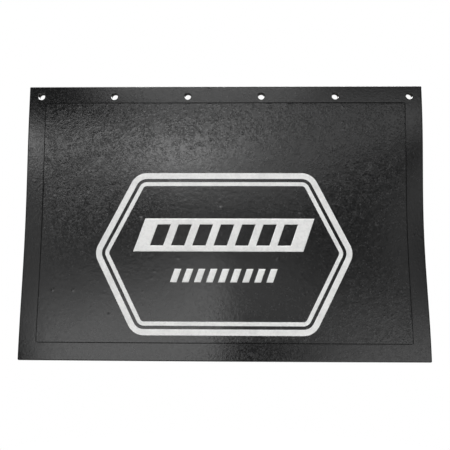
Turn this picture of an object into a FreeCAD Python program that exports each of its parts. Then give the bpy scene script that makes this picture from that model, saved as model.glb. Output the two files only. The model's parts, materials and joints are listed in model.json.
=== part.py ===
import FreeCAD, Part
import math
import os

# A mud flap for a truck or trailer. It is a moulded sheet of black rubber with a woven ply pressed in at the
# middle of its thickness, six bolt holes along its top edge, an engraved line that marks off a plain border,
# and a raised white badge on its front.
#
# The sheet hangs from its top band and flexes below it. Four bodies carry that bend, one under the other, and
# each pair meets in a knuckle: a full round edge that turns in a slightly larger hollow, on one axis in the
# ply's plane. The front faces -Y, X runs along the width, and the origin is the middle of the row of bolt
# holes, in the sheet's middle plane. All sizes are in millimetres.

INCH = 25.4

# The sheet, and its layers through the thickness.
WIDTH = 24 * INCH
HEIGHT = 16.5 * INCH
THICKNESS = 0.375 * INCH
CORNER_RADIUS = 2.0
PLY_THICKNESS = 0.9
PLY_INSET = 0.25 * INCH

# The bolt holes, which clear 3/8 in bolts.
HOLE_COUNT = 6
HOLE_PITCH = 4.5 * INCH
HOLE_DIAMETER = 10.3
HOLE_LINE_DROP = 0.625 * INCH

# The engraved line on the front.
BORDER_WIDTH = 26.5
GROOVE_WIDTH = 1.3
GROOVE_DEPTH = 0.8

# The bend: the hinge lines' heights, and the running gap in each knuckle.
BEND_TOP = -1.125 * INCH
BEND_STEP = 1.25 * INCH
BEND_LINES = 3
KNUCKLE_GAP = 0.3

# The badge: a long hexagon drawn by two lines, a band of slanted windows, and a row of slanted dashes.
BADGE_HEIGHT = 0.5
BADGE_CENTRE_DROP = 243.7
BADGE_HALF_WIDTH = 193.0
BADGE_HALF_RISE = 122.0
BADGE_SHOULDER = 118.0
BADGE_CORNER = 26.0
OUTER_LINE = 9.0
LINE_GAP = 5.0
INNER_LINE = 6.0
BAND_HALF_WIDTH = 128.0
BAND_BASE = 2.0
BAND_RISE = 50.0
BAND_MARGIN = 9.0
WINDOW_COUNT = 7
WINDOW_WIDTH = 20.0
WINDOW_PITCH = 32.0
DASH_COUNT = 9
DASH_WIDTH = 10.0
DASH_PITCH = 18.0
DASH_BASE = -44.0
DASH_RISE = 20.0
SLANT = 0.35

SHEET_TOP = HOLE_LINE_DROP
SHEET_BOTTOM = SHEET_TOP - HEIGHT
HALF_WIDTH = WIDTH / 2
HALF_THICKNESS = THICKNESS / 2
HALF_PLY = PLY_THICKNESS / 2
HINGE_HEIGHTS = [BEND_TOP - BEND_STEP * line for line in range(BEND_LINES)]
BODIES = ["mounting_band", "upper_bend", "lower_bend", "hanging_panel"]


def arc_height(radius, y):
    """How far above its axis a cylinder of this radius stands, at y from the middle plane."""
    return math.sqrt(max(radius ** 2 - y ** 2, 0.0))


def end_edge(hinge, radius, flat, y_from, y_to):
    """One end of a layer in the YZ plane: an arc about a hinge line, or level where there is no hinge."""
    def point(y):
        height = flat if hinge is None else hinge + arc_height(radius, y)
        return FreeCAD.Vector(0, y, height)

    if hinge is None:
        return Part.makeLine(point(y_from), point(y_to))
    return Part.Arc(point(y_from), point((y_from + y_to) / 2), point(y_to)).toShape()


def layer_length(body, front, back, inset=0.0):
    """One body's length of a layer, from front to back in Y, held short of the sheet's rim by inset."""
    place = BODIES.index(body)
    hinge_above = HINGE_HEIGHTS[place - 1] if place > 0 else None
    hinge_below = HINGE_HEIGHTS[place] if place < BEND_LINES else None
    top = end_edge(hinge_above, HALF_THICKNESS, SHEET_TOP - inset, front, back)
    bottom = end_edge(hinge_below, HALF_THICKNESS + KNUCKLE_GAP, SHEET_BOTTOM + inset, front, back)
    sides = [
        Part.makeLine(top.valueAt(top.FirstParameter), bottom.valueAt(bottom.FirstParameter)),
        Part.makeLine(top.valueAt(top.LastParameter), bottom.valueAt(bottom.LastParameter)),
    ]
    profile = Part.Face(Part.Wire(Part.__sortEdges__([top, bottom] + sides)))
    half = HALF_WIDTH - inset
    profile.translate(FreeCAD.Vector(-half, 0, 0))
    return profile.extrude(FreeCAD.Vector(2 * half, 0, 0))


def round_corners(shape):
    """Rounds the sheet's own corners, as seen from the front, where this length of it has them."""
    def at_corner(edge):
        box = edge.BoundBox
        through = box.YLength > max(box.XLength, box.ZLength)
        at_side = abs(abs(box.Center.x) - HALF_WIDTH) < KNUCKLE_GAP
        at_top = abs(box.Center.z - SHEET_TOP) < KNUCKLE_GAP
        at_bottom = abs(box.Center.z - SHEET_BOTTOM) < KNUCKLE_GAP
        return through and at_side and (at_top or at_bottom)

    corners = [edge for edge in shape.Edges if at_corner(edge)]
    return shape.makeFillet(CORNER_RADIUS, corners) if corners else shape


def bolt_holes():
    """The six cutters for the bolt holes, right through the sheet."""
    cutters = []
    for index in range(HOLE_COUNT):
        x = (index - (HOLE_COUNT - 1) / 2) * HOLE_PITCH
        start = FreeCAD.Vector(x, -THICKNESS, 0)
        cutters.append(Part.makeCylinder(HOLE_DIAMETER / 2, 2 * THICKNESS, start, FreeCAD.Vector(0, 1, 0)))
    return cutters


def groove_ring():
    """The cutter for the engraved line: a flat rectangular ring whose middle is one border width inside."""
    def plate(inset):
        size = (WIDTH - 2 * inset, GROOVE_DEPTH, HEIGHT - 2 * inset)
        corner = FreeCAD.Vector(inset - HALF_WIDTH, -HALF_THICKNESS, SHEET_BOTTOM + inset)
        return Part.makeBox(*size, corner)

    return plate(BORDER_WIDTH - GROOVE_WIDTH / 2).cut(plate(BORDER_WIDTH + GROOVE_WIDTH / 2))


def drilled(shape, body):
    """The top body has the bolt holes, and the others have none."""
    return shape.cut(bolt_holes()) if body == BODIES[0] else shape


def face_rubber(body):
    """The front layer, with its share of the engraved line."""
    layer = round_corners(layer_length(body, -HALF_THICKNESS, -HALF_PLY))
    return drilled(layer.cut(groove_ring()), body)


def woven_ply(body):
    """The textile ply, held back from the rim so that rubber seals its edge."""
    return drilled(layer_length(body, -HALF_PLY, HALF_PLY, PLY_INSET), body)


def back_rubber(body):
    """The rear layer, which closes round the ply's edge and meets the front layer at the rim."""
    layer = round_corners(layer_length(body, -HALF_PLY, HALF_THICKNESS))
    return drilled(layer.cut(layer_length(body, -HALF_PLY, HALF_PLY, PLY_INSET)), body)


def flat_polygon(points):
    """A flat face on the sheet's front from (x, z) points measured from the badge's middle."""
    corners = [FreeCAD.Vector(x, -HALF_THICKNESS, z - BADGE_CENTRE_DROP) for x, z in points]
    return Part.Face(Part.makePolygon(corners + corners[:1]))


def raised(face):
    """A flat face on the front, raised to the badge's height."""
    return face.extrude(FreeCAD.Vector(0, -BADGE_HEIGHT, 0))


def hexagon(inset):
    """The badge's long hexagon, drawn inwards from its outer edge by inset, with round corners."""
    tip = BADGE_HALF_WIDTH - BADGE_CORNER
    rise = BADGE_HALF_RISE - BADGE_CORNER
    upper = [(tip, 0), (BADGE_SHOULDER, rise), (-BADGE_SHOULDER, rise)]
    lower = [(-x, -z) for x, z in upper]
    return flat_polygon(upper + lower).makeOffset2D(BADGE_CORNER - inset)


def badge_line(inset, width):
    """One of the two lines that draw the hexagon."""
    return raised(hexagon(inset)).cut(raised(hexagon(inset + width)))


def slanted_bar(x, width, base, rise):
    """A raised bar that leans to the right, centred on x."""
    lean = SLANT * rise / 2
    half = width / 2
    return raised(flat_polygon([
        (x - half - lean, base),
        (x + half - lean, base),
        (x + half + lean, base + rise),
        (x - half + lean, base + rise),
    ]))


def slanted_row(count, pitch, width, base, rise):
    """A row of leaning bars, centred on the badge."""
    places = [(index - (count - 1) / 2) * pitch for index in range(count)]
    return [slanted_bar(x, width, base, rise) for x in places]


def badge_band():
    """The solid band with its row of slanted windows."""
    band = slanted_bar(0, 2 * BAND_HALF_WIDTH, BAND_BASE, BAND_RISE)
    base = BAND_BASE + BAND_MARGIN
    rise = BAND_RISE - 2 * BAND_MARGIN
    return band.cut(slanted_row(WINDOW_COUNT, WINDOW_PITCH, WINDOW_WIDTH, base, rise))


def badge_dashes():
    """The row of separate dashes under the band."""
    return Part.makeCompound(slanted_row(DASH_COUNT, DASH_PITCH, DASH_WIDTH, DASH_BASE, DASH_RISE))


def write(node, shape):
    shape.exportStep(f"parts/{node}.step")


os.makedirs("parts", exist_ok=True)
for body_name in BODIES:
    for make_layer in [face_rubber, woven_ply, back_rubber]:
        write(f"{body_name}_{make_layer.__name__}", make_layer(body_name))
write("badge_outer_line", badge_line(0, OUTER_LINE))
write("badge_inner_line", badge_line(OUTER_LINE + LINE_GAP, INNER_LINE))
write("badge_band", badge_band())
write("badge_dashes", badge_dashes())
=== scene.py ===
import json
import math

import bmesh
import bpy
import numpy as np
from mathutils import Matrix, Vector


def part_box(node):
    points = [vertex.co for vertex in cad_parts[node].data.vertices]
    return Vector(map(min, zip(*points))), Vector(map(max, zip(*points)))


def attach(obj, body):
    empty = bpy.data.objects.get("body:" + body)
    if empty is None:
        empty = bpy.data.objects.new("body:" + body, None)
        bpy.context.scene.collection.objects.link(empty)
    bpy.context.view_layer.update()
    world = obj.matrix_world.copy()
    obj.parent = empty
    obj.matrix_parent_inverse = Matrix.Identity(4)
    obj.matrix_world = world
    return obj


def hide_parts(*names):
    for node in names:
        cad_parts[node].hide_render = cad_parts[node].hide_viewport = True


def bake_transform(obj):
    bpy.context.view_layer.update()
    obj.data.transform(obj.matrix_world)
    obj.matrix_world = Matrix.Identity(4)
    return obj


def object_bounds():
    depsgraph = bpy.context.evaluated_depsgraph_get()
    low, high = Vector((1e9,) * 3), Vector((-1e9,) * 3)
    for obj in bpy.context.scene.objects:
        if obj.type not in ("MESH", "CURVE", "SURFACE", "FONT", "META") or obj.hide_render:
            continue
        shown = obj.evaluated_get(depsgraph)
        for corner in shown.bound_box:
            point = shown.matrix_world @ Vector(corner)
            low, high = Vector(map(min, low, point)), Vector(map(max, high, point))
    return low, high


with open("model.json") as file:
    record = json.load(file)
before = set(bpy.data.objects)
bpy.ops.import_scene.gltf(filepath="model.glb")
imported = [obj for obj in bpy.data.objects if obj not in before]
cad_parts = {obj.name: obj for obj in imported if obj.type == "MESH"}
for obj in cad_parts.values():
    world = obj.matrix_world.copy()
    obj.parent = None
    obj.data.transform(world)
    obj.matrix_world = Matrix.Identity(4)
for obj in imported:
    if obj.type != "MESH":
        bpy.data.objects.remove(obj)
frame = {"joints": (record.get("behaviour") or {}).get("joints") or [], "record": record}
cad_box = [list(corner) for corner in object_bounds()]


# ------------------------------------------------------------------------------------------------------------
# The studio. A pale floor that fades into a white surround, with a softbox above, one behind and a dim one at
# each side. Soft bright patches of the surround show in the gloss of the sheet. The camera stands a little
# below the middle of the sheet and looks slightly up.

CAMERA_PLACE = Vector((0.0170, -0.8463, -0.3019))
CAMERA_PITCH = math.radians(6.81)
CAMERA_YAW = math.radians(-1.05)
CAMERA_ROLL = math.radians(0.23)
CAMERA_LENS = 44.88
CAMERA_NEAR = 0.01

FLOOR_HEIGHT = -0.78
FLOOR_RADIUS = 1.2
FLOOR_SIDES = 96
FADE_START = 0.4 * FLOOR_RADIUS
FLOOR_WHITE = (0.86, 0.86, 0.85, 1.0)

# Each softbox: its place, the point that it faces, its size and its power.
SOFTBOXES = {
    "top_softbox": ((0.0, -0.35, 1.25), (0.0, 0.0, -0.3), (1.8, 1.0), 48.0),
    "back_softbox": ((0.30, 1.50, 1.10), (0.0, 0.2, -0.5), (1.8, 1.2), 60.0),
    "left_softbox": ((-2.00, -0.50, 0.30), (0.0, 0.0, -0.2), (1.8, 1.8), 6.0),
    "right_softbox": ((2.00, -0.50, 0.30), (0.0, 0.0, -0.2), (1.8, 1.8), 5.0),
}

SURROUND_WHITE = (1.0, 1.0, 1.0, 1.0)
SURROUND_SEEN = 1.0
SURROUND_LIGHT = 0.10
LEAST_DEPTH = 0.01
GLOW_WOBBLE = 0.05
WOBBLE_SCALE = 7.0
# Each glow as the sheet shows it: middle (x, z), half size, softness of the edges, lean and brightness.
GLOWS = [
    ((-0.120, -0.086), (0.150, 0.031), (0.100, 0.009), 0.17, 4.2),
    ((0.100, -0.072), (0.232, 0.074), (0.030, 0.045), 0.04, 1.15),
    ((-0.340, -0.106), (0.055, 0.046), (0.015, 0.030), 0.20, 3.2),
    ((-0.360, -0.220), (0.052, 0.110), (0.020, 0.050), 0.20, 0.55),
    ((0.370, -0.190), (0.045, 0.130), (0.030, 0.050), 0.10, 0.35),
    ((-0.080, -0.171), (0.240, 0.060), (0.060, 0.030), 0.22, 0.2),
    ((-0.160, -0.385), (0.163, 0.120), (0.014, 0.085), 0.13, 2.3),
    ((0.315, -0.432), (0.172, 0.144), (0.100, 0.130), 0.16, 1.65),
    ((0.048, -0.273), (0.100, 0.060), (0.080, 0.025), 0.11, 0.7),
    ((-0.030, 0.032), (0.180, 0.026), (0.040, 0.010), 0.07, 2.4),
]


def wire(tree, kind, inputs=None, **settings):
    """Adds a node to a tree, with its settings, and each input as a value or as a link from another node."""
    node = tree.nodes.new(kind)
    for name, value in settings.items():
        setattr(node, name, value)
    for key, value in (inputs or {}).items():
        if isinstance(value, bpy.types.NodeSocket):
            tree.links.new(value, node.inputs[key])
        else:
            node.inputs[key].default_value = value
    return node


def calc(tree, operation, *values):
    """A Math node's result."""
    return wire(tree, "ShaderNodeMath", dict(enumerate(values)), operation=operation).outputs[0]


def ramp(tree, value, low, high, to_low=0.0, to_high=1.0):
    """The value taken smoothly from one range to another."""
    inputs = {"Value": value, "From Min": low, "From Max": high, "To Min": to_low, "To Max": to_high}
    node = wire(tree, "ShaderNodeMapRange", inputs, interpolation_type="SMOOTHSTEP")
    return node.outputs["Result"]


def new_material(name):
    """An empty node material."""
    material = bpy.data.materials.new(name)
    material.use_nodes = True
    material.node_tree.nodes.clear()
    return material


def new_object(name, mesh):
    """An object of the scene, made from a mesh."""
    piece = bpy.data.objects.new(name, mesh)
    bpy.context.scene.collection.objects.link(piece)
    return piece


def studio_camera():
    """The camera, turned by its pitch, yaw and roll."""
    ahead = Vector((
        math.sin(CAMERA_YAW) * math.cos(CAMERA_PITCH),
        math.cos(CAMERA_YAW) * math.cos(CAMERA_PITCH),
        math.sin(CAMERA_PITCH),
    ))
    level = Vector((math.cos(CAMERA_YAW), -math.sin(CAMERA_YAW), 0.0))
    right = Matrix.Rotation(-CAMERA_ROLL, 3, ahead) @ level
    turn = Matrix((right, right.cross(ahead), -ahead)).transposed().to_4x4()
    camera = bpy.data.objects.new("camera", bpy.data.cameras.new("camera"))
    bpy.context.scene.collection.objects.link(camera)
    camera.data.lens = CAMERA_LENS
    camera.data.clip_start = CAMERA_NEAR
    camera.matrix_world = Matrix.Translation(CAMERA_PLACE) @ turn
    bpy.context.scene.camera = camera


def softbox(name, place, aim, size, power):
    """A rectangular soft light that faces a point, and that the camera can't see."""
    light = bpy.data.lights.new(name, "AREA")
    light.shape = "RECTANGLE"
    light.size, light.size_y = size
    light.energy = power
    lamp = bpy.data.objects.new(name, light)
    bpy.context.scene.collection.objects.link(lamp)
    lamp.location = place
    lamp.rotation_euler = (Vector(aim) - Vector(place)).to_track_quat("-Z", "Y").to_euler()
    lamp.visible_camera = False


def glow(tree, across, up, middle, half, edge, lean, brightness):
    """A bright patch of the studio, placed where the hanging sheet's gloss shows it to the camera."""
    side = calc(tree, "SUBTRACT", across, middle[0])
    lift = calc(tree, "MULTIPLY", side, lean)
    rise = calc(tree, "SUBTRACT", calc(tree, "SUBTRACT", up, middle[1]), lift)
    strength = brightness
    for way, reach, soft in zip((side, rise), half, edge):
        share = ramp(tree, calc(tree, "ABSOLUTE", way), reach - soft, reach + soft, 1.0, 0.0)
        strength = calc(tree, "MULTIPLY", strength, share)
    return strength


def surround():
    """A white surround for the camera. The object gets a dim light from it, with soft bright patches."""
    world = bpy.data.worlds.new("surround")
    world.use_nodes = True
    tree = world.node_tree
    tree.nodes.clear()
    way = wire(tree, "ShaderNodeTexCoord").outputs["Generated"]
    part = wire(tree, "ShaderNodeSeparateXYZ", {0: way}).outputs
    wobble = wire(tree, "ShaderNodeTexNoise", {"Vector": way, "Scale": WOBBLE_SCALE, "Detail": 2.0})
    shift = wire(tree, "ShaderNodeSeparateXYZ", {0: wobble.outputs["Color"]}).outputs
    depth = calc(tree, "MAXIMUM", calc(tree, "MULTIPLY", part["Y"], -1.0), LEAST_DEPTH)
    sheet = []
    for axis, origin in (("X", CAMERA_PLACE.x), ("Z", CAMERA_PLACE.z)):
        run = calc(tree, "MULTIPLY", calc(tree, "DIVIDE", part[axis], depth), -CAMERA_PLACE.y)
        bend = calc(tree, "MULTIPLY", calc(tree, "SUBTRACT", shift[axis], 0.5), GLOW_WOBBLE)
        sheet.append(calc(tree, "ADD", calc(tree, "ADD", run, origin), bend))
    strength = SURROUND_LIGHT
    for patch in GLOWS:
        strength = calc(tree, "ADD", strength, glow(tree, *sheet, *patch))
    seen = wire(tree, "ShaderNodeBackground", {"Color": SURROUND_WHITE, "Strength": SURROUND_SEEN})
    light = wire(tree, "ShaderNodeBackground", {"Color": SURROUND_WHITE, "Strength": strength})
    path = wire(tree, "ShaderNodeLightPath")
    mixed = wire(tree, "ShaderNodeMixShader", {
        0: path.outputs["Is Camera Ray"],
        1: light.outputs[0],
        2: seen.outputs[0],
    })
    wire(tree, "ShaderNodeOutputWorld", {"Surface": mixed.outputs[0]})
    bpy.context.scene.world = world


def pale_floor():
    """A round floor whose edge fades away."""
    material = new_material("floor_paint")
    tree = material.node_tree
    place = wire(tree, "ShaderNodeTexCoord").outputs["Object"]
    reach = wire(tree, "ShaderNodeVectorMath", {0: place}, operation="LENGTH").outputs["Value"]
    paint = wire(tree, "ShaderNodeBsdfDiffuse", {"Color": FLOOR_WHITE})
    clear = wire(tree, "ShaderNodeBsdfTransparent")
    edge = ramp(tree, reach, FADE_START, FLOOR_RADIUS)
    mixed = wire(tree, "ShaderNodeMixShader", {0: edge, 1: paint.outputs[0], 2: clear.outputs[0]})
    wire(tree, "ShaderNodeOutputMaterial", {"Surface": mixed.outputs[0]})
    disc = bmesh.new()
    bmesh.ops.create_circle(disc, cap_ends=True, segments=FLOOR_SIDES, radius=FLOOR_RADIUS)
    mesh = bpy.data.meshes.new("floor")
    disc.to_mesh(mesh)
    disc.free()
    mesh.materials.append(material)
    floor = new_object("floor", mesh)
    floor.location.z = FLOOR_HEIGHT


studio_camera()
surround()
pale_floor()
for lamp_name, lamp_setting in SOFTBOXES.items():
    softbox(lamp_name, *lamp_setting)
bpy.context.scene.view_settings.view_transform = "Standard"


# ------------------------------------------------------------------------------------------------------------
# The face rubber. The front layer of one moulded sheet of black rubber, with a plain border, an engraved line
# and a pebbled centre. It is vulcanised to the ply behind it, punched for six bolts, and flexes below its top
# band, so it is made in three lengths that meet where the sheet is stiff.

MM = 0.001
INCH = 0.0254

# The edges, and the engraved line: how far from its middle its walls turn, and how deep they are there.
CORNER_RADIUS = 2.0 * MM
EDGE_ROUND = 1.0 * MM
HOLE_ROUND = 0.5 * MM
BORDER_WIDTH = 26.5 * MM
GROOVE_REACH = [0.0, 0.15 * MM, 0.66 * MM]
GROOVE_DEPTH = [0.90 * MM, 0.86 * MM, 0.0]

# The mesh: its pitch, the square round a hole, the reach of a bend, and how many rows the hidden side skips.
GRID = INCH / 16
HOLE_CELLS = 4
HOLE_BLOCK = HOLE_CELLS * GRID
HOLE_SIDES = 8 * HOLE_CELLS
BEND_REACH = 10 * GRID
RIM_REACH = BORDER_WIDTH / 3
HIDDEN_STEP = 32
HIDDEN_BEND_STEP = 4

SHEET_LOW, SHEET_HIGH = Vector(cad_box[0]), Vector(cad_box[1])
WIDTH = SHEET_HIGH.x - SHEET_LOW.x
HEIGHT = SHEET_HIGH.z - SHEET_LOW.z
FACE_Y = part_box("mounting_band_face_rubber")[0].y
PLY_FACE_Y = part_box("mounting_band_woven_ply")[0].y
HINGES = [joint["pos_m"][2] for joint in frame["joints"]]
BOLT_HOLES = [
    (sum(corner[0] for corner in opening["box_m"]) / 2, sum(corner[2] for corner in opening["box_m"]) / 2)
    for opening in frame["record"]["physics"]["openings"]
]
HOLE_RADIUS = next(m["dims"]["hole_r_mm"] * MM for m in frame["record"]["mounts"] if "hole_r_mm" in m["dims"])


def side_lines(length):
    """Where mesh lines cross a side of the sheet: evenly, but closer at the rim and at the engraved line."""
    cells = round(length / GRID)
    extra = [EDGE_ROUND * (1 - math.sqrt(0.5)), EDGE_ROUND, CORNER_RADIUS]
    extra += [BORDER_WIDTH + reach for reach in GROOVE_REACH]
    extra += [BORDER_WIDTH - reach for reach in GROOVE_REACH[1:]]
    crowded = (1, round(BORDER_WIDTH / GRID))
    near = [k * GRID for k in range(cells // 2) if k not in crowded] + extra
    return sorted(near + [length / 2] + [length - place for place in near])


COLUMNS = side_lines(WIDTH)
ROWS = side_lines(HEIGHT)


def line_at(lines, place):
    """The number of the mesh line that is nearest to a place."""
    return int(np.argmin(np.abs(np.array(lines) - place)))


def plan_point(across, down):
    """A crossing of two mesh lines as x, z and its distance in from the rim, drawn in at a round corner."""
    near_side, near_end = min(across, WIDTH - across), min(down, HEIGHT - down)
    inset = min(near_side, near_end)
    if near_side < CORNER_RADIUS and near_end < CORNER_RADIUS:
        p, q = CORNER_RADIUS - near_side, CORNER_RADIUS - near_end
        angle = math.pi / 4 * min(p, q) / max(p, q)
        long, short = max(p, q) * math.cos(angle), max(p, q) * math.sin(angle)
        p_round, q_round = (long, short) if p > q else (short, long)
        across += (p - p_round) * (1 if across < WIDTH / 2 else -1)
        down += (q - q_round) * (1 if down < HEIGHT / 2 else -1)
    return SHEET_LOW.x + across, SHEET_HIGH.z - down, inset


# A point's columns in a table: x, z, distance in from the rim, way out from a hole, and whether it's hidden.
INSET, REACH, HIDDEN = 2, 3, 4
FAR_OFF = 1.0


class Plan:
    """One length of a layer as seen from the front: its points, and its faces as numbers of points."""

    def __init__(self, rows, columns, holes):
        self.points, self.faces, self.number = [], [], {}
        self.rows, self.columns, self.holes = rows, columns, holes
        blocks = [self.block(hole) for hole in holes]

        def in_block(row, column, inside):
            return any(
                top + inside <= row < bottom and left + inside <= column < right
                for top, bottom, left, right in blocks
            )

        for row in rows:
            for column in columns:
                if not in_block(row, column, 1):
                    self.add((row, column), *plan_point(COLUMNS[column], ROWS[row]), FAR_OFF)
        for above, below in zip(rows, rows[1:]):
            for left, right in zip(columns, columns[1:]):
                if not in_block(above, left, 0):
                    cell = [(above, left), (above, right), (below, right), (below, left)]
                    self.faces.append([self.number[key] for key in cell])
        for hole in range(len(holes)):
            self.ring_round(hole)

    def add(self, key, x, z, inset, reach):
        """A new point, kept under a key."""
        self.number[key] = len(self.points)
        self.points.append((x, z, inset, reach))

    def block(self, hole):
        """The mesh lines that bound the square round a hole."""
        x, z = hole
        down, across = SHEET_HIGH.z - z, x - SHEET_LOW.x
        rows = [line_at(ROWS, down + side * HOLE_BLOCK) for side in (-1, 1)]
        columns = [line_at(COLUMNS, across + side * HOLE_BLOCK) for side in (-1, 1)]
        return rows + columns

    def ring_round(self, hole):
        """Rings of points from the square round a hole in to its edge."""
        x, z = self.holes[hole]
        top, bottom, left, right = self.block((x, z))
        square = [(row, right) for row in range((top + bottom) // 2, top, -1)]
        square += [(top, column) for column in range(right, left, -1)]
        square += [(row, left) for row in range(top, bottom)]
        square += [(bottom, column) for column in range(left, right)]
        square += [(row, right) for row in range(bottom, (top + bottom) // 2, -1)]
        rounds = [HOLE_RADIUS + HOLE_ROUND * part for part in (0.0, 1 - math.sqrt(0.5), 1.0)]
        for k, key in enumerate(square):
            angle = 2 * math.pi * k / HOLE_SIDES
            turn = Vector((math.cos(angle), math.sin(angle)))
            outer = Vector(self.points[self.number[key]][:2])
            ring = [Vector((x, z)) + turn * radius for radius in rounds]
            ring.append((ring[-1] + outer) / 2)
            for place, point in enumerate(ring):
                self.add((hole, place, k), *point, HEIGHT, (point - Vector((x, z))).length)
        for k in range(HOLE_SIDES):
            after = (k + 1) % HOLE_SIDES
            keys = [(hole, place) for place in range(len(rounds) + 1)]
            near = [self.number[key + (k,)] for key in keys] + [self.number[square[k]]]
            far = [self.number[key + (after,)] for key in keys] + [self.number[square[after]]]
            for place in range(len(keys)):
                self.faces.append([near[place], near[place + 1], far[place + 1], far[place]])


def closed_layer(name, outer, inner, outer_y, inner_y):
    """A solid layer between two plans with one outline. A wall's faces take in all the points between."""
    table = np.array([(*point, 0.0) for point in outer.points] + [(*point, 1.0) for point in inner.points])
    shift = len(outer.points)
    faces = outer.faces + [[shift + number for number in face] for face in inner.faces]

    def wall(start, end, between):
        ends = [shift + inner.number[start], shift + inner.number[end]]
        faces.append(ends + [outer.number[key] for key in reversed(between)])

    for row in (outer.rows[0], outer.rows[-1]):
        for left, right in zip(outer.columns, outer.columns[1:]):
            wall((row, left), (row, right), [(row, left), (row, right)])
    for column in (outer.columns[0], outer.columns[-1]):
        for above, below in zip(inner.rows, inner.rows[1:]):
            between = [(row, column) for row in outer.rows if above <= row <= below]
            wall((above, column), (below, column), between)
    for hole in range(len(outer.holes)):
        for k in range(HOLE_SIDES):
            start, end = (hole, 0, k), (hole, 0, (k + 1) % HOLE_SIDES)
            wall(start, end, [start, end])

    hidden = table[:, HIDDEN] > 0
    y = np.where(hidden, inner_y(table), outer_y(table))
    mesh = bpy.data.meshes.new(name)
    mesh.from_pydata(np.column_stack([table[:, 0], y, table[:, 1]]).tolist(), [], faces)
    solid = bmesh.new()
    solid.from_mesh(mesh)
    bmesh.ops.recalc_face_normals(solid, faces=solid.faces)
    solid.to_mesh(mesh)
    solid.free()
    relief = mesh.attributes.new("relief", "FLOAT", "POINT")
    relief.data.foreach_set("value", np.where(hidden, 0.0, relief_share(table)).astype(np.float32))
    return mesh


def rounded(distance, radius):
    """How far a round edge draws a surface back, at a distance in from the edge."""
    inside = np.clip(radius - distance, 0.0, radius)
    return radius - np.sqrt(radius ** 2 - inside ** 2)


def drawn_back(table):
    """How far the round rim and the round edges of the bolt holes draw a surface back."""
    return rounded(table[:, INSET], EDGE_ROUND) + rounded(table[:, REACH] - HOLE_RADIUS, HOLE_ROUND)


def face_y(table):
    """The front's own surface, with the engraved line."""
    groove = np.interp(np.abs(table[:, INSET] - BORDER_WIDTH), GROOVE_REACH, GROOVE_DEPTH)
    return FACE_Y + drawn_back(table) + groove


def smooth(values, low, high):
    """Where values lie between low and high, from 0 to 1, with a soft start and end."""
    share = np.clip((values - low) / (high - low), 0.0, 1.0)
    return share * share * (3 - 2 * share)


# The relief of the plain border, and how soon the relief fades in from each edge.
BORDER_RELIEF = 0.30
CENTRE_FADE = 2.0 * MM
GROOVE_FADE = 1.5 * MM
RIM_FADE = 4.0 * MM
HOLE_FADE = 3.0 * MM


def relief_share(table):
    """How much of the relief a point has: all in the centre, a little on the border and none on the edges."""
    inset, reach = table[:, INSET], table[:, REACH]
    centre = smooth(inset, BORDER_WIDTH, BORDER_WIDTH + CENTRE_FADE)
    share = BORDER_RELIEF + (1 - BORDER_RELIEF) * centre
    off_groove = smooth(np.abs(inset - BORDER_WIDTH), GROOVE_REACH[-1], GROOVE_REACH[-1] + GROOVE_FADE)
    off_rim = smooth(inset, EDGE_ROUND, RIM_FADE)
    off_hole = smooth(reach, HOLE_RADIUS, HOLE_RADIUS + HOLE_FADE)
    return share * off_groove * off_rim * off_hole


# Each length: its name, the two bodies that it bends between, and the bodies whose CAD layers it stands for.
LENGTHS = [
    ("upper", ("mounting_band", "upper_bend"), ["mounting_band"]),
    ("middle", ("upper_bend", "lower_bend"), ["upper_bend", "lower_bend"]),
    ("lower", ("lower_bend", "hanging_panel"), ["hanging_panel"]),
]
SEAMS = [(HINGES[0] + HINGES[1]) / 2, (HINGES[1] + HINGES[2]) / 2]


def length_rows(place, first, last):
    """All the mesh rows of one length, and those of its hidden side, which are few below the bend."""
    ends = [first] + [line_at(ROWS, SHEET_HIGH.z - seam) for seam in SEAMS] + [last]
    rows = list(range(ends[place], ends[place + 1] + 1))
    if place == 0:
        return rows, rows
    bend_end = line_at(ROWS, SHEET_HIGH.z - HINGES[place] + BEND_REACH)
    rim_start = line_at(ROWS, HEIGHT - RIM_REACH)

    def kept(row):
        in_bend = row <= bend_end and (row - rows[0]) % HIDDEN_BEND_STEP == 0
        at_end = row >= rim_start or row in (rows[0], rows[-1])
        return in_bend or at_end or (row - bend_end) % HIDDEN_STEP == 0

    return rows, [row for row in rows if kept(row)]


def layer_lengths(layer, outer_y, inner_y, inset=0.0):
    """A layer's three lengths as closed meshes, short of the sheet's rim by inset."""
    columns = list(range(line_at(COLUMNS, inset), line_at(COLUMNS, WIDTH - inset) + 1))
    first, last = line_at(ROWS, inset), line_at(ROWS, HEIGHT - inset)
    made = []
    for place, (length, _, _) in enumerate(LENGTHS):
        rows, hidden_rows = length_rows(place, first, last)
        holes = BOLT_HOLES if place == 0 else []
        outer = Plan(rows, columns, holes)
        inner = outer if hidden_rows == rows else Plan(hidden_rows, columns, holes)
        made.append(closed_layer(f"{layer}_{length}", outer, inner, outer_y, inner_y))
    return made


# The relief that the mould gives the face: pebbles, which are stronger in some patches, wide low swells, and
# here and there a pimple.
PEBBLE_HEIGHT, PEBBLE_SIZE = 0.04 * MM, 3.6 * MM
SWELL_HEIGHT, SWELL_SIZE = 0.08 * MM, 14.0 * MM
PIMPLE_HEIGHT, PIMPLE_SPACING = 0.34 * MM, 17.0 * MM
PIMPLE_CORE, PIMPLE_RIM, PIMPLE_RARITY = 0.04, 0.13, 0.55
PATCH_SIZE = 75.0 * MM
PATCH_START, PATCH_END = -0.14, 0.12
PATCH_WEAK, PATCH_STRONG = 0.45, 1.25
PEBBLE_CONTRAST = 3.0
RELIEF_ROUGHNESS = 0.55
RELIEF_SEED = 3.0

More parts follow.
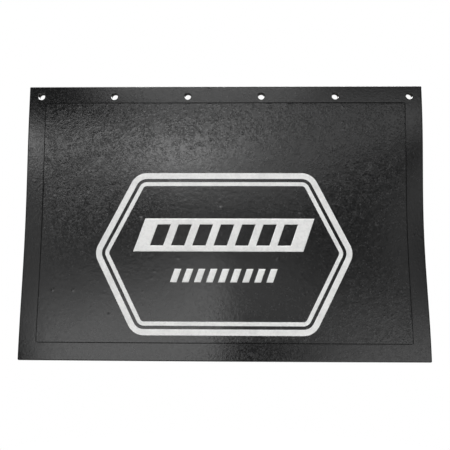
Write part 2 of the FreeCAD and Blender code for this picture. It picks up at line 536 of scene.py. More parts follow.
# The hang: how far the sides drift back and draw in, how uneven left and right are, and how far the foot
# comes forward.
HANG_START = HINGES[0] + BEND_REACH
SIDE_DRIFT, SIDE_LEAN = 5.0 * MM, 1.8 * MM
FOOT_DRIFT = 4.0 * MM
SIDE_DRAW, SIDE_DRAW_LEAN = 1.4 * MM, 0.6 * MM


def hang_shift(tree, place):
    """How the hanging sheet drifts from flat below its band: its sides back and in, and its foot forward."""
    part = wire(tree, "ShaderNodeSeparateXYZ", {0: place}).outputs
    across = calc(tree, "DIVIDE", part["X"], WIDTH / 2)
    down = calc(tree, "DIVIDE", calc(tree, "SUBTRACT", HANG_START, part["Z"]), HANG_START - SHEET_LOW.z)
    down = calc(tree, "MAXIMUM", down, 0.0)
    belly = calc(tree, "POWER", calc(tree, "SINE", calc(tree, "MULTIPLY", down, math.pi)), 2.0)
    square = calc(tree, "MULTIPLY", across, across)
    cube = calc(tree, "MULTIPLY", square, across)
    back = calc(tree, "MULTIPLY", square, calc(tree, "MULTIPLY_ADD", across, SIDE_LEAN, SIDE_DRIFT))
    arch = calc(tree, "COSINE", calc(tree, "MULTIPLY", across, math.pi / 2))
    foot = calc(tree, "MULTIPLY", arch, calc(tree, "MULTIPLY", down, down))
    foot = calc(tree, "MULTIPLY", foot, FOOT_DRIFT)
    draw = calc(tree, "MULTIPLY", cube, calc(tree, "MULTIPLY_ADD", across, SIDE_DRAW_LEAN, SIDE_DRAW))
    y = calc(tree, "SUBTRACT", calc(tree, "MULTIPLY", back, belly), foot)
    x = calc(tree, "MULTIPLY", calc(tree, "MULTIPLY", draw, belly), -1.0)
    return wire(tree, "ShaderNodeCombineXYZ", {"X": x, "Y": y}).outputs[0]


def moulded_surface():
    """The node group that gives a mesh the relief of the moulded face, and the hang of the whole sheet."""
    tree = bpy.data.node_groups.new("moulded_surface", "GeometryNodeTree")
    face = tree.interface
    face.new_socket("Geometry", in_out="INPUT", socket_type="NodeSocketGeometry")
    sizes = {
        "Relief": 1.0,
        "Outwards": -1.0,
        "Pebble Height": PEBBLE_HEIGHT,
        "Pebble Size": PEBBLE_SIZE,
        "Swell Height": SWELL_HEIGHT,
        "Swell Size": SWELL_SIZE,
        "Pimple Height": PIMPLE_HEIGHT,
        "Pimple Spacing": PIMPLE_SPACING,
        "Seed": RELIEF_SEED,
    }
    for name, value in sizes.items():
        face.new_socket(name, in_out="INPUT", socket_type="NodeSocketFloat").default_value = value
    face.new_socket("Geometry", in_out="OUTPUT", socket_type="NodeSocketGeometry")
    given = wire(tree, "NodeGroupInput").outputs
    place = wire(tree, "GeometryNodeInputPosition").outputs[0]
    parts = wire(tree, "ShaderNodeSeparateXYZ", {0: place}).outputs
    flat = wire(tree, "ShaderNodeCombineXYZ", {
        "X": parts["X"],
        "Y": given["Outwards"],
        "Z": parts["Z"],
    }).outputs[0]
    kept = wire(tree, "GeometryNodeStoreNamedAttribute", {
        "Geometry": given["Geometry"],
        "Name": "rest",
        "Value": place,
    }, data_type="FLOAT_VECTOR")

    def noise(size, detail, seed_step):
        seed = calc(tree, "ADD", given["Seed"], seed_step)
        scale = calc(tree, "DIVIDE", 1.0, size)
        inputs = {"Vector": flat, "W": seed, "Scale": scale, "Detail": detail, "Roughness": RELIEF_ROUGHNESS}
        node = wire(tree, "ShaderNodeTexNoise", inputs, noise_dimensions="4D")
        return calc(tree, "SUBTRACT", node.outputs["Fac"], 0.5)

    patch = noise(PATCH_SIZE, 2.0, 11.0)
    patch = ramp(tree, patch, PATCH_START, PATCH_END, PATCH_WEAK, PATCH_STRONG)
    pebble = calc(tree, "MULTIPLY", noise(given["Pebble Size"], 2.0, 0.0), given["Pebble Height"])
    pebble = calc(tree, "MULTIPLY", calc(tree, "MULTIPLY", pebble, PEBBLE_CONTRAST), patch)
    swell = calc(tree, "MULTIPLY", noise(given["Swell Size"], 1.0, 5.0), given["Swell Height"])
    cells = wire(tree, "ShaderNodeTexVoronoi", {
        "Vector": flat,
        "Scale": calc(tree, "DIVIDE", 1.0, given["Pimple Spacing"]),
    })
    chance = wire(tree, "ShaderNodeSeparateXYZ", {0: cells.outputs["Color"]}).outputs[0]
    chosen = calc(tree, "GREATER_THAN", chance, PIMPLE_RARITY)
    dome = ramp(tree, cells.outputs["Distance"], PIMPLE_CORE, PIMPLE_RIM, 1.0, 0.0)
    pimple = calc(tree, "MULTIPLY", calc(tree, "MULTIPLY", dome, chosen), given["Pimple Height"])
    height = calc(tree, "ADD", calc(tree, "ADD", pebble, swell), pimple)
    height = calc(tree, "MULTIPLY", calc(tree, "MULTIPLY", height, given["Relief"]), given["Outwards"])
    raised = wire(tree, "ShaderNodeCombineXYZ", {"Y": height}).outputs[0]
    offset = wire(tree, "ShaderNodeVectorMath", {0: raised, 1: hang_shift(tree, place)}, operation="ADD")
    moved = wire(tree, "GeometryNodeSetPosition", {
        "Geometry": kept.outputs["Geometry"],
        "Offset": offset.outputs["Vector"],
    })
    wire(tree, "NodeGroupOutput", {"Geometry": moved.outputs["Geometry"]})
    return tree


MOULDED_SURFACE = moulded_surface()


def start_tree(name, inputs):
    """A modifier's tree with its named inputs."""
    tree = bpy.data.node_groups.new(name, "GeometryNodeTree")
    tree.interface.new_socket("Geometry", in_out="INPUT", socket_type="NodeSocketGeometry")
    for label, kind in inputs.items():
        tree.interface.new_socket(label, in_out="INPUT", socket_type=kind)
    tree.interface.new_socket("Geometry", in_out="OUTPUT", socket_type="NodeSocketGeometry")
    return tree, wire(tree, "NodeGroupInput").outputs


def end_tree(tree, geometry, material):
    """The last two steps of every tree."""
    real = wire(tree, "GeometryNodeRealizeInstances", {"Geometry": geometry})
    coated = wire(tree, "GeometryNodeSetMaterial", {"Geometry": real.outputs[0], "Material": material})
    wire(tree, "NodeGroupOutput", {"Geometry": coated.outputs["Geometry"]})


# What the sheet's tree can be told.
SHEET_INPUTS = {
    "Outwards": "NodeSocketFloat",
    "Pebble Height": "NodeSocketFloat",
    "Pebble Size": "NodeSocketFloat",
    "Swell Height": "NodeSocketFloat",
    "Pimple Height": "NodeSocketFloat",
    "Material": "NodeSocketMaterial",
}


def sheet_tree():
    """The tree for a layer of the sheet, whose points say how much relief they have."""
    tree, given = start_tree("moulded_sheet", SHEET_INPUTS)
    share = wire(tree, "GeometryNodeInputNamedAttribute", {"Name": "relief"}, data_type="FLOAT")
    inputs = {name: given[name] for name in SHEET_INPUTS if name != "Material"}
    inputs["Geometry"] = given["Geometry"]
    inputs["Relief"] = share.outputs["Attribute"]
    surface = wire(tree, "GeometryNodeGroup", node_tree=MOULDED_SURFACE)
    for name, socket in inputs.items():
        tree.links.new(socket, surface.inputs[name])
    end_tree(tree, surface.outputs["Geometry"], given["Material"])
    return tree


SHEET_TREE = sheet_tree()


def made_by(tree, name, mesh, values):
    """A plain mesh object made by a tree from a mesh, with the tree's inputs set by name."""
    source = new_object("source", mesh)
    modifier = source.modifiers.new("shape", "NODES")
    modifier.node_group = tree
    for item in tree.interface.items_tree:
        if item.in_out == "INPUT" and item.name in values:
            modifier[item.identifier] = values[item.name]
    evaluated = source.evaluated_get(bpy.context.evaluated_depsgraph_get())
    made = bpy.data.meshes.new_from_object(evaluated)
    made.name = name
    bpy.data.objects.remove(source)
    return new_object(name, made)


# Where an edge is sharp, what tells a cut end or a wide wall from a moulded face, and what is one mesh line.
SHARP = math.radians(52)
CUT_END = 0.9
WIDE_WALL = 1.0e-3
SAME_LINE = GRID / 4


def microns(place):
    """A point's place in whole microns, which is the same for two meshes that meet there."""
    return tuple(round(value * 1e6) for value in place)


def seam_normals(meshes, seam):
    """For the points at a seam, the summed normals of the faces on both sides that aren't the cut ends."""
    total = {}
    for mesh in meshes:
        for polygon in mesh.polygons:
            if abs(polygon.normal.z) < CUT_END and polygon.area < WIDE_WALL:
                for index in polygon.vertices:
                    place = mesh.vertices[index].co
                    if abs(place.z - seam) < SAME_LINE:
                        key = microns(place)
                        total[key] = total.get(key, Vector()) + polygon.normal * polygon.area
    return total


def shade_layer(pieces):
    """Smooth shading with sharp edges where the form has them, and no line to see where two lengths meet."""
    totals = []
    for above, below, seam in zip(pieces, pieces[1:], SEAMS):
        totals.append(seam_normals([above.data, below.data], seam))
    for piece in pieces:
        mesh = piece.data
        mesh.shade_smooth()
        mesh.set_sharp_from_angle(angle=SHARP)
        normals = np.zeros((len(mesh.loops), 3), np.float32)
        for total, seam in zip(totals, SEAMS):
            for polygon in mesh.polygons:
                if abs(polygon.normal.z) > CUT_END or abs(polygon.center.z - seam) > GRID:
                    continue
                for loop in polygon.loop_indices:
                    place = mesh.vertices[mesh.loops[loop].vertex_index].co
                    key = microns(place)
                    if key in total and abs(place.z - seam) < SAME_LINE:
                        normals[loop] = total[key].normalized()
        mesh.normals_split_custom_set(normals.tolist())


# Grey patches, partly blooming and handling, partly painted sheen: x, z, half width, half height, slope and
# strength.
BLOOM_AND_PAINTED_SHEEN = [
    (-0.060, -0.110, 0.160, 0.060, 0.00, 0.05),
    (-0.170, -0.350, 0.150, 0.075, 0.10, 0.07),
    (0.260, -0.370, 0.100, 0.050, 0.00, 0.03),
]
# Where the moulded grain is coarse: the same six numbers.
COARSE = [
    (0.060, -0.035, 0.300, 0.050, 0.00, 0.52),
    (-0.240, -0.125, 0.110, 0.090, 0.00, 0.50),
    (0.250, -0.370, 0.200, 0.090, 0.00, 0.55),
    (0.060, -0.410, 0.200, 0.035, 0.00, 0.40),
    (0.200, -0.120, 0.140, 0.080, 0.00, 0.40),
]
PATCH_FALL = 1.5


def paint_patches(mesh, name, patches):
    """Stores on each point how much of the soft patches it has, by its place on the flat sheet."""
    rest = np.zeros(len(mesh.vertices) * 3, np.float32)
    mesh.attributes["rest"].data.foreach_get("vector", rest)
    x, _, z = rest.reshape(-1, 3).T
    total = np.zeros(len(x))
    for at_x, at_z, wide, high, slope, strength in patches:
        across, up = x - at_x, z - at_z
        turned_x = across * math.cos(slope) + up * math.sin(slope)
        turned_z = up * math.cos(slope) - across * math.sin(slope)
        reach = np.hypot(turned_x / wide, turned_z / high)
        total += strength * np.exp(-0.5 * (reach * PATCH_FALL) ** 2)
    mesh.attributes.new(name, "FLOAT", "POINT").data.foreach_set("value", total.astype(np.float32))


FACE_BLACK = (0.0042, 0.0043, 0.0045, 1.0)
# The grey of the face's film and dust, which is also the colour of its painted sheen and glints.
FACE_GREY_AND_SHEEN = (0.100, 0.101, 0.102, 1.0)
# The sizes of the marks in the finish, from wide to fine.
CLOUD_SIZE = 38.0 * MM
COARSE_SIZE = 11.0 * MM
STREAK_SIZE, STREAK_STRETCH = 6.0 * MM, 0.12
LEATHER_SIZE, LEATHER_BUMP = 4.2 * MM, 0.19 * MM
CREST_PITCH, CREST_BUMP = 2.3 * MM, 0.09 * MM
GRAIN_SIZE, GRAIN_BUMP = 1.1 * MM, 0.010 * MM
COARSE_LEAST = 0.14
# Dust everywhere and in streaks, crest specks that are partly painted glints, and what makes the polish
# duller.
DUST_LEAST, STREAK_DUST, CREST_DUST_AND_GLINT = 0.012, 0.012, 0.62
POLISH, PIT_DULL, DUST_AND_SHEEN_DULL = 0.085, 0.34, 0.3


def rest_place(tree):
    """The place on the flat sheet that each point comes from."""
    return wire(tree, "ShaderNodeAttribute", attribute_name="rest").outputs["Vector"]


def painted(tree, name):
    """A share that is stored on the points."""
    return wire(tree, "ShaderNodeAttribute", attribute_name=name).outputs["Fac"]


def noise_at(tree, place, size, detail=2.0, roughness=0.5):
    """Noise of a size, from 0 to 1."""
    inputs = {"Vector": place, "Scale": 1.0 / size, "Detail": detail, "Roughness": roughness}
    return wire(tree, "ShaderNodeTexNoise", inputs).outputs["Fac"]


def bump_of(tree, height, distance, under=None):
    """A bump that is as high as the distance, over another bump if there is one."""
    inputs = {"Height": height, "Distance": distance, "Strength": 1.0}
    if under:
        inputs["Normal"] = under
    return wire(tree, "ShaderNodeBump", inputs).outputs["Normal"]


def colour_mix(tree, share, low, high):
    """Two colours mixed."""
    node = wire(tree, "ShaderNodeMix", data_type="RGBA")
    inputs = {socket.identifier: socket for socket in node.inputs}
    tree.links.new(share, inputs["Factor_Float"])
    inputs["A_Color"].default_value = low
    inputs["B_Color"].default_value = high
    return next(socket for socket in node.outputs if socket.identifier == "Result_Color")


def set_surface(tree, share, low, high, roughness, normal):
    """A material's surface, with two colours mixed."""
    shader = wire(tree, "ShaderNodeBsdfPrincipled", {
        "Base Color": colour_mix(tree, share, low, high),
        "Roughness": roughness,
        "Normal": normal,
    })
    wire(tree, "ShaderNodeOutputMaterial", {"Surface": shader.outputs[0]})


def face_rubber():
    """Black rubber with a grey film and painted sheen. Coarse grain in patches, crest specks partly dusty and
    partly painted glints, dull pits.
    """
    material = new_material("face_rubber")
    tree = material.node_tree
    place = rest_place(tree)
    cloud = noise_at(tree, place, CLOUD_SIZE, 4.0, 0.6)
    patchy = ramp(tree, noise_at(tree, place, COARSE_SIZE, 3.0, 0.6), 0.38, 0.60, 0.30, 1.35)
    coarse = calc(tree, "MULTIPLY", painted(tree, "coarse"), patchy)
    coarse = calc(tree, "ADD", calc(tree, "MULTIPLY", coarse, painted(tree, "relief")), COARSE_LEAST)
    stretch = (1.0, 1.0, STREAK_STRETCH)
    long_place = wire(tree, "ShaderNodeVectorMath", {0: place, 1: stretch}, operation="MULTIPLY")
    streaks = ramp(tree, noise_at(tree, long_place.outputs["Vector"], STREAK_SIZE, 3.0), 0.45, 0.75)
    cells = wire(tree, "ShaderNodeTexVoronoi", {"Vector": place, "Scale": 1.0 / CREST_PITCH}).outputs
    chance = wire(tree, "ShaderNodeSeparateXYZ", {0: cells["Color"]}).outputs
    dome = ramp(tree, cells["Distance"], 0.00, 0.80, 1.0, 0.0)
    # Light specks on the crests of the grain, partly dusty and partly painted glints.
    crest_specks_and_glints = calc(tree, "MULTIPLY", dome, ramp(tree, chance["X"], 0.55, 1.00))
    pits = ramp(tree, chance["Y"], 0.30, 0.80)
    crests = calc(tree, "MULTIPLY", dome, calc(tree, "ADD", chance["Z"], 0.3))
    leather = noise_at(tree, place, LEATHER_SIZE)
    grain = noise_at(tree, place, GRAIN_SIZE, 3.0, 0.6)
    cloudy = ramp(tree, cloud, 0.30, 0.62, 0.55, 1.25)
    # The grey share: the painted patches, part film and handling and part painted sheen, with more in clouds
    # and streaks.
    dust_and_sheen = calc(tree, "MULTIPLY_ADD", painted(tree, "bloom"), cloudy, DUST_LEAST)
    dust_and_sheen = calc(tree, "MULTIPLY_ADD", streaks, STREAK_DUST, dust_and_sheen)
    dust_and_sheen = calc(tree, "MULTIPLY_ADD", calc(tree, "MULTIPLY", crest_specks_and_glints, coarse), CREST_DUST_AND_GLINT, dust_and_sheen)
    normal = bump_of(tree, calc(tree, "MULTIPLY", leather, coarse), LEATHER_BUMP)
    normal = bump_of(tree, calc(tree, "MULTIPLY", crests, coarse), CREST_BUMP, normal)
    normal = bump_of(tree, grain, GRAIN_BUMP, normal)
    dull = calc(tree, "MULTIPLY_ADD", calc(tree, "MULTIPLY", pits, coarse), PIT_DULL, POLISH)
    roughness = calc(tree, "MULTIPLY_ADD", dust_and_sheen, DUST_AND_SHEEN_DULL, dull)
    set_surface(tree, dust_and_sheen, FACE_BLACK, FACE_GREY_AND_SHEEN, roughness, normal)
    return material


def make_layer(layer, outer_y, inner_y, values, inset=0.0, with_patches=False):
    """A layer's three lengths, with their relief and shading, shown in place of the CAD layers."""
    meshes = layer_lengths(layer, outer_y, inner_y, inset)
    pieces = [made_by(SHEET_TREE, mesh.name + "_length", mesh, values) for mesh in meshes]
    shade_layer(pieces)
    for piece, hinge, (_, bodies, stood_for) in zip(pieces, HINGES, LENGTHS):
        if with_patches:
            # Grey patches on the face, part film and handling, part painted sheen.
            paint_patches(piece.data, "bloom", BLOOM_AND_PAINTED_SHEEN)
            paint_patches(piece.data, "coarse", COARSE)
        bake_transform(piece)
        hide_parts(*[f"{body}_{layer}" for body in stood_for])


make_layer("face_rubber", face_y, lambda table: PLY_FACE_Y, {
    "Outwards": -1.0,
    "Pebble Height": PEBBLE_HEIGHT,
    "Pebble Size": PEBBLE_SIZE,
    "Swell Height": SWELL_HEIGHT,
    "Pimple Height": PIMPLE_HEIGHT,
    "Material": face_rubber(),
}, with_patches=True)


# ------------------------------------------------------------------------------------------------------------
# The woven ply. A coarse plain-weave textile filled with rubber, pressed in at the middle of the thickness so
# that the sheet can't tear at its bolts. It stops short of the rim, and its edge shows inside the bolt holes.

PLY_BACK_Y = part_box("mounting_band_woven_ply")[1].y
PLY_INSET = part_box("mounting_band_woven_ply")[0].x - SHEET_LOW.x
YARN_PITCH, YARN_BUMP = 2.2 * MM, 0.25 * MM
FIBRE_SIZE = 0.5 * MM
YARN_LIGHT = (0.30, 0.26, 0.19, 1.0)
YARN_DARK = (0.10, 0.085, 0.065, 1.0)


def wave(tree, along, pitch):
    """A sine wave along one coordinate, one full wave to two pitches."""
    return calc(tree, "SINE", calc(tree, "MULTIPLY", along, math.pi / pitch))


def weave_height(tree, place, pitch):
    """A plain weave: how far each yarn is over or under the next, and the height of the cloth."""
    part = wire(tree, "ShaderNodeSeparateXYZ", {0: place}).outputs
    over = calc(tree, "MULTIPLY", wave(tree, part["X"], pitch), wave(tree, part["Z"], pitch))
    ridge_x = calc(tree, "ABSOLUTE", wave(tree, part["X"], pitch))
    ridge_z = calc(tree, "ABSOLUTE", wave(tree, part["Z"], pitch))
    ridge = calc(tree, "MAXIMUM", ridge_x, ridge_z)
    return over, calc(tree, "MULTIPLY_ADD", over, 0.5, ridge)


def woven_ply():
    """Tan yarn with dark rubber in its crossings."""
    material = new_material("woven_ply")
    tree = material.node_tree
    place = rest_place(tree)
    over, height = weave_height(tree, place, YARN_PITCH)
    shade = ramp(tree, height, 0.3, 1.2)
    fibre = noise_at(tree, place, FIBRE_SIZE, 3.0)
    share = calc(tree, "MULTIPLY", shade, ramp(tree, fibre, 0.3, 0.7, 0.6, 1.0))
    roughness = ramp(tree, over, -1.0, 1.0, 0.75, 0.9)
    normal = bump_of(tree, height, YARN_BUMP)
    set_surface(tree, share, YARN_DARK, YARN_LIGHT, roughness, normal)
    return material


make_layer("woven_ply", lambda table: PLY_FACE_Y, lambda table: PLY_BACK_Y, {
    "Outwards": -1.0,
    "Material": woven_ply(),
}, inset=PLY_INSET)


# ------------------------------------------------------------------------------------------------------------
# The back rubber. The rear layer of the moulding, cured against a press cloth that leaves its weave in the
# surface. It closes round the ply's edge and meets the face rubber at the rim.

BACK_Y = SHEET_HIGH.y
BACK_PEBBLE_HEIGHT, BACK_PEBBLE_SIZE = 0.05 * MM, 6.0 * MM
BACK_SWELL_HEIGHT = 0.30 * MM
CLOTH_PITCH, CLOTH_BUMP = 1.5 * MM, 0.14 * MM
TALC_SIZE = 60.0 * MM
BACK_MOTTLE_SIZE, BACK_MOTTLE_BUMP = 5.0 * MM, 0.15 * MM
BACK_BLACK = (0.0095, 0.0095, 0.0100, 1.0)
BACK_GREY = (0.050, 0.050, 0.049, 1.0)


def back_y(table):
    """The back's own surface."""
    return BACK_Y - drawn_back(table)


def pocket_y(table):
    """The hidden side of the back rubber: against the ply, and against the face rubber at the rim."""
    return np.where(table[:, INSET] < PLY_INSET - GRID / 2, PLY_FACE_Y, PLY_BACK_Y)


def back_rubber():
    """Dull black rubber with the mark of the press cloth and some talc left in it."""
    material = new_material("back_rubber")
    tree = material.node_tree
    place = rest_place(tree)
    _, cloth = weave_height(tree, place, CLOTH_PITCH)
    cloud = noise_at(tree, place, TALC_SIZE, 4.0, 0.6)
    mottle = noise_at(tree, place, BACK_MOTTLE_SIZE, 3.0, 0.6)
    talc = calc(tree, "MULTIPLY", ramp(tree, cloud, 0.35, 0.7), ramp(tree, mottle, 0.3, 0.7, 0.3, 1.0))
    talc = calc(tree, "MULTIPLY", talc, ramp(tree, cloth, 0.2, 1.2, 1.0, 0.5))
    normal = bump_of(tree, cloth, CLOTH_BUMP)
    normal = bump_of(tree, mottle, BACK_MOTTLE_BUMP, normal)
    roughness = ramp(tree, mottle, 0.3, 0.7, 0.48, 0.62)
    set_surface(tree, talc, BACK_BLACK, BACK_GREY, roughness, normal)
    return material


make_layer("back_rubber", back_y, pocket_y, {
    "Outwards": 1.0,
    "Pebble Height": BACK_PEBBLE_HEIGHT,
    "Pebble Size": BACK_PEBBLE_SIZE,
    "Swell Height": BACK_SWELL_HEIGHT,
    "Pimple Height": 0.0,
    "Material": back_rubber(),
})


# ------------------------------------------------------------------------------------------------------------
# The badge. White rubber cured into the face: two lines that draw a long hexagon, a band of slanted windows,
# and a row of slanted dashes. It stands a little proud and follows every pebble of the face under it.

# How far the badge stands out of the face and reaches into it, the slope of its edge, and its mesh's pitch.
BADGE_PROUD = 0.40 * MM
BADGE_SUNK = 0.45 * MM
BADGE_EDGE = 0.30 * MM
BADGE_STEP = 1.6 * MM
# What is only rounding, in a length and in a count of steps.
LEAST_GAP = 1e-7
LEAST_STEP = 1e-6

# The hexagon and its two lines, the band with its windows, the dashes, and how far both lean for their rise.
BADGE_SHOULDER = 118 * MM
BADGE_CORNER = 26 * MM
OUTER_LINE, LINE_GAP, INNER_LINE = 9 * MM, 5 * MM, 6 * MM
WINDOW_COUNT, WINDOW_WIDTH, WINDOW_PITCH, BAND_MARGIN = 7, 20 * MM, 32 * MM, 9 * MM
DASH_COUNT, DASH_WIDTH, DASH_PITCH = 9, 10 * MM, 18 * MM
SLANT = 0.35
BADGE_LOW, BADGE_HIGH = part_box("badge_outer_line")
BADGE_MIDDLE = (BADGE_LOW + BADGE_HIGH) / 2
BADGE_WHITE = (0.80, 0.80, 0.79, 1.0)
BADGE_GREY = (0.60, 0.60, 0.60, 1.0)
BADGE_CLOUD_SIZE = 22.0 * MM
BADGE_MOTTLE_SIZE, BADGE_MOTTLE_BUMP = 3.2 * MM, 0.12 * MM
BADGE_GRAIN_SIZE, BADGE_GRAIN_BUMP = 0.9 * MM, 0.05 * MM
BADGE_INPUTS = {"Material": "NodeSocketMaterial"}


def hexagon_path(name, inset):
    """The path down the middle of one of the hexagon's lines, drawn flat, at a distance in from its rim."""
    tip = BADGE_MIDDLE.x - BADGE_LOW.x - BADGE_CORNER
    rise = BADGE_HIGH.z - BADGE_MIDDLE.z - BADGE_CORNER
    upper = [Vector((tip, 0)), Vector((BADGE_SHOULDER, rise)), Vector((-BADGE_SHOULDER, rise))]
    core = upper + [-corner for corner in upper]
    radius = BADGE_CORNER - inset
    points = []
    for before, corner, after in zip(core[-1:] + core[:-1], core, core[1:] + core[:1]):
        ways = [corner - before, after - corner]
        angles = [math.atan2(-way.x, way.y) for way in ways]
        turn = (angles[1] - angles[0]) % (2 * math.pi)
        steps = max(4, round(turn * radius / BADGE_STEP))
        for k in range(steps + 1):
            angle = angles[0] + turn * k / steps
            points.append((corner.x + radius * math.cos(angle), corner.y + radius * math.sin(angle), 0.0))
    mesh = bpy.data.meshes.new(name)
    mesh.from_pydata(points, [(k, (k + 1) % len(points)) for k in range(len(points))], [])
    return mesh


def surface_and_end(tree, geometry, given):
    """The badge lies on the moulded face, with all of its relief."""
    surface = wire(tree, "GeometryNodeGroup", node_tree=MOULDED_SURFACE)
    tree.links.new(geometry, surface.inputs["Geometry"])
    end_tree(tree, surface.outputs["Geometry"], given["Material"])
    return tree


def line_tree():
    """A flat strip with sloping edges along a path, stood up on the face."""
    sizes = {"Width": "NodeSocketFloat", **BADGE_INPUTS}
    tree, given = start_tree("badge_line", sizes)
    path = wire(tree, "GeometryNodeMeshToCurve", {"Mesh": given["Geometry"]}).outputs["Curve"]
    even = wire(tree, "GeometryNodeResampleCurve", {"Curve": path, "Length": BADGE_STEP}, mode="LENGTH")
    path = wire(tree, "GeometryNodeSetCurveNormal", {"Curve": even.outputs[0]}, mode="Z_UP").outputs[0]
    strip = wire(tree, "GeometryNodeCurvePrimitiveQuadrilateral", {
        "Height": BADGE_PROUD + BADGE_SUNK,
        "Bottom Width": given["Width"],
        "Top Width": calc(tree, "SUBTRACT", given["Width"], 2 * BADGE_EDGE),
        "Offset": 0.0,
    }, mode="TRAPEZOID").outputs[0]
    strip = wire(tree, "GeometryNodeSubdivideCurve", {"Curve": strip, "Cuts": 4}).outputs[0]
    swept = wire(tree, "GeometryNodeCurveToMesh", {"Curve": path, "Profile Curve": strip}).outputs[0]
    middle = FACE_Y + (BADGE_SUNK - BADGE_PROUD) / 2
    stood = wire(tree, "GeometryNodeTransform", {
        "Geometry": swept,
        "Translation": (BADGE_MIDDLE.x, middle, BADGE_MIDDLE.z),
        "Rotation": (math.pi / 2, 0.0, 0.0),
    })
    return surface_and_end(tree, stood.outputs["Geometry"], given)


def row_tree():
    """A row of equal pieces on the face, centred on the place where one piece is drawn."""
    sizes = {"Count": "NodeSocketInt", "Pitch": "NodeSocketFloat", **BADGE_INPUTS}
    tree, given = start_tree("badge_row", sizes)
    gaps = calc(tree, "SUBTRACT", given["Count"], 1.0)
    first = calc(tree, "MULTIPLY", calc(tree, "MULTIPLY", gaps, given["Pitch"]), -0.5)
    points = wire(tree, "GeometryNodeMeshLine", {
        "Count": given["Count"],
        "Start Location": wire(tree, "ShaderNodeCombineXYZ", {"X": first}).outputs[0],
        "Offset": wire(tree, "ShaderNodeCombineXYZ", {"X": given["Pitch"]}).outputs[0],
    })
    row = wire(tree, "GeometryNodeInstanceOnPoints", {
        "Points": points.outputs[0],
        "Instance": given["Geometry"],
    })
    real = wire(tree, "GeometryNodeRealizeInstances", {"Geometry": row.outputs[0]})
    return surface_and_end(tree, real.outputs["Geometry"], given)


def filled(stops, step):
    """The stops in order, with even steps between them."""
    stops = sorted(stops)
    lines = stops[:1]
    for start, end in zip(stops, stops[1:]):
        count = max(1, math.ceil((end - start) / step - LEAST_STEP))
        lines += [start + (end - start) * k / count for k in range(1, count + 1)]
    return lines


def both_sides(half, step):
    """An edge and the line beside it, on both sides of a middle."""
    return [side * reach for side in (-1, 1) for reach in (half, half + step)]


def slanted_plate(name, width, low, high, windows):
    """A raised plate that leans to the right, with windows given by their middles along it."""
    middle, rise = (low + high) / 2, high - low
    window_rise = rise - 2 * BAND_MARGIN
    across_stops = both_sides(width / 2, -BADGE_EDGE)
    for window in windows:
        across_stops += [window + stop for stop in both_sides(WINDOW_WIDTH / 2, BADGE_EDGE)]
    up_stops = both_sides(rise / 2, -BADGE_EDGE)
    if windows:
        up_stops += both_sides(window_rise / 2, BADGE_EDGE)
    across, up = filled(across_stops, BADGE_STEP), filled(up_stops, BADGE_STEP)

    def out_of_window(u, v):
        gaps = [max(abs(u - window) - WINDOW_WIDTH / 2, abs(v) - window_rise / 2) for window in windows]
        return min(gaps, default=width)

    plate = bmesh.new()
    corners = {}
    for u in across:
        for v in up:
            edge = min(width / 2 - abs(u), rise / 2 - abs(v), out_of_window(u, v))
            if edge > -LEAST_GAP:
                drop = rounded(np.array([max(edge, 0.0)]), BADGE_EDGE)[0]
                x, z = BADGE_MIDDLE.x + u + SLANT * v, middle + v
                top = plate.verts.new((x, FACE_Y - BADGE_PROUD + drop, z))
                corners[u, v] = (top, plate.verts.new((x, FACE_Y + BADGE_SUNK, z)))
    for left, right in zip(across, across[1:]):
        for under, over in zip(up, up[1:]):
            if out_of_window((left + right) / 2, (under + over) / 2) > 0:
                around = [(left, under), (right, under), (right, over), (left, over)]
                around = [corners[key] for key in around]
                plate.faces.new([pair[0] for pair in around])
                plate.faces.new([pair[1] for pair in reversed(around)])
    low_of = dict(corners.values())
    rims = [edge for edge in plate.edges if edge.is_boundary and all(vert in low_of for vert in edge.verts)]
    for edge in rims:
        start, end = edge.verts
        plate.faces.new([start, end, low_of[end], low_of[start]])
    bmesh.ops.recalc_face_normals(plate, faces=plate.faces)
    mesh = bpy.data.meshes.new(name)
    plate.to_mesh(mesh)
    plate.free()
    return mesh


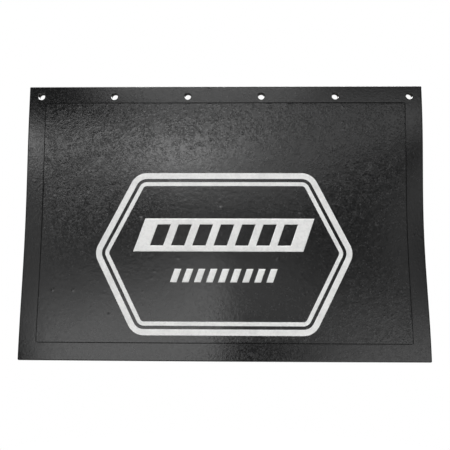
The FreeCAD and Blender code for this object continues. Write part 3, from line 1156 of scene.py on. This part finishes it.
def badge_white():
    """Off-white rubber, mottled by the black under it."""
    material = new_material("badge_white")
    tree = material.node_tree
    place = rest_place(tree)
    cloud = noise_at(tree, place, BADGE_CLOUD_SIZE, 4.0, 0.6)
    mottle = noise_at(tree, place, BADGE_MOTTLE_SIZE, 3.0, 0.6)
    grain = noise_at(tree, place, BADGE_GRAIN_SIZE, 3.0, 0.6)
    share = ramp(tree, mottle, 0.25, 0.6, 0.5, 1.0)
    share = calc(tree, "MULTIPLY", ramp(tree, cloud, 0.3, 0.6, 0.6, 1.0), share)
    normal = bump_of(tree, mottle, BADGE_MOTTLE_BUMP)
    normal = bump_of(tree, grain, BADGE_GRAIN_BUMP, normal)
    roughness = ramp(tree, mottle, 0.3, 0.7, 0.45, 0.6)
    set_surface(tree, share, BADGE_GREY, BADGE_WHITE, roughness, normal)
    return material


BADGE_FINISH = badge_white()
LINE_TREE = line_tree()
ROW_TREE = row_tree()
BAND_LOW, BAND_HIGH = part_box("badge_band")
DASH_LOW, DASH_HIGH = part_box("badge_dashes")
BAND_WIDTH = BAND_HIGH.x - BAND_LOW.x - SLANT * (BAND_HIGH.z - BAND_LOW.z)
WINDOWS = [(k - (WINDOW_COUNT - 1) / 2) * WINDOW_PITCH for k in range(WINDOW_COUNT)]


def fix_badge_piece(node, tree, mesh, values):
    """Makes one piece of the badge in place of its CAD node, and fixes it to the hanging panel."""
    piece = made_by(tree, node + "_moulding", mesh, {"Material": BADGE_FINISH, **values})
    piece.data.shade_smooth()
    piece.data.set_sharp_from_angle(angle=SHARP)
    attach(piece, "hanging_panel")
    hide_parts(node)


outer_path = hexagon_path("outer_path", OUTER_LINE / 2)
inner_path = hexagon_path("inner_path", OUTER_LINE + LINE_GAP + INNER_LINE / 2)
band_plate = slanted_plate("band_plate", BAND_WIDTH, BAND_LOW.z, BAND_HIGH.z, WINDOWS)
dash_plate = slanted_plate("dash_plate", DASH_WIDTH, DASH_LOW.z, DASH_HIGH.z, [])
fix_badge_piece("badge_outer_line", LINE_TREE, outer_path, {"Width": OUTER_LINE})
fix_badge_piece("badge_inner_line", LINE_TREE, inner_path, {"Width": INNER_LINE})
fix_badge_piece("badge_band", ROW_TREE, band_plate, {"Count": 1, "Pitch": 0.0})
fix_badge_piece("badge_dashes", ROW_TREE, dash_plate, {"Count": DASH_COUNT, "Pitch": DASH_PITCH})
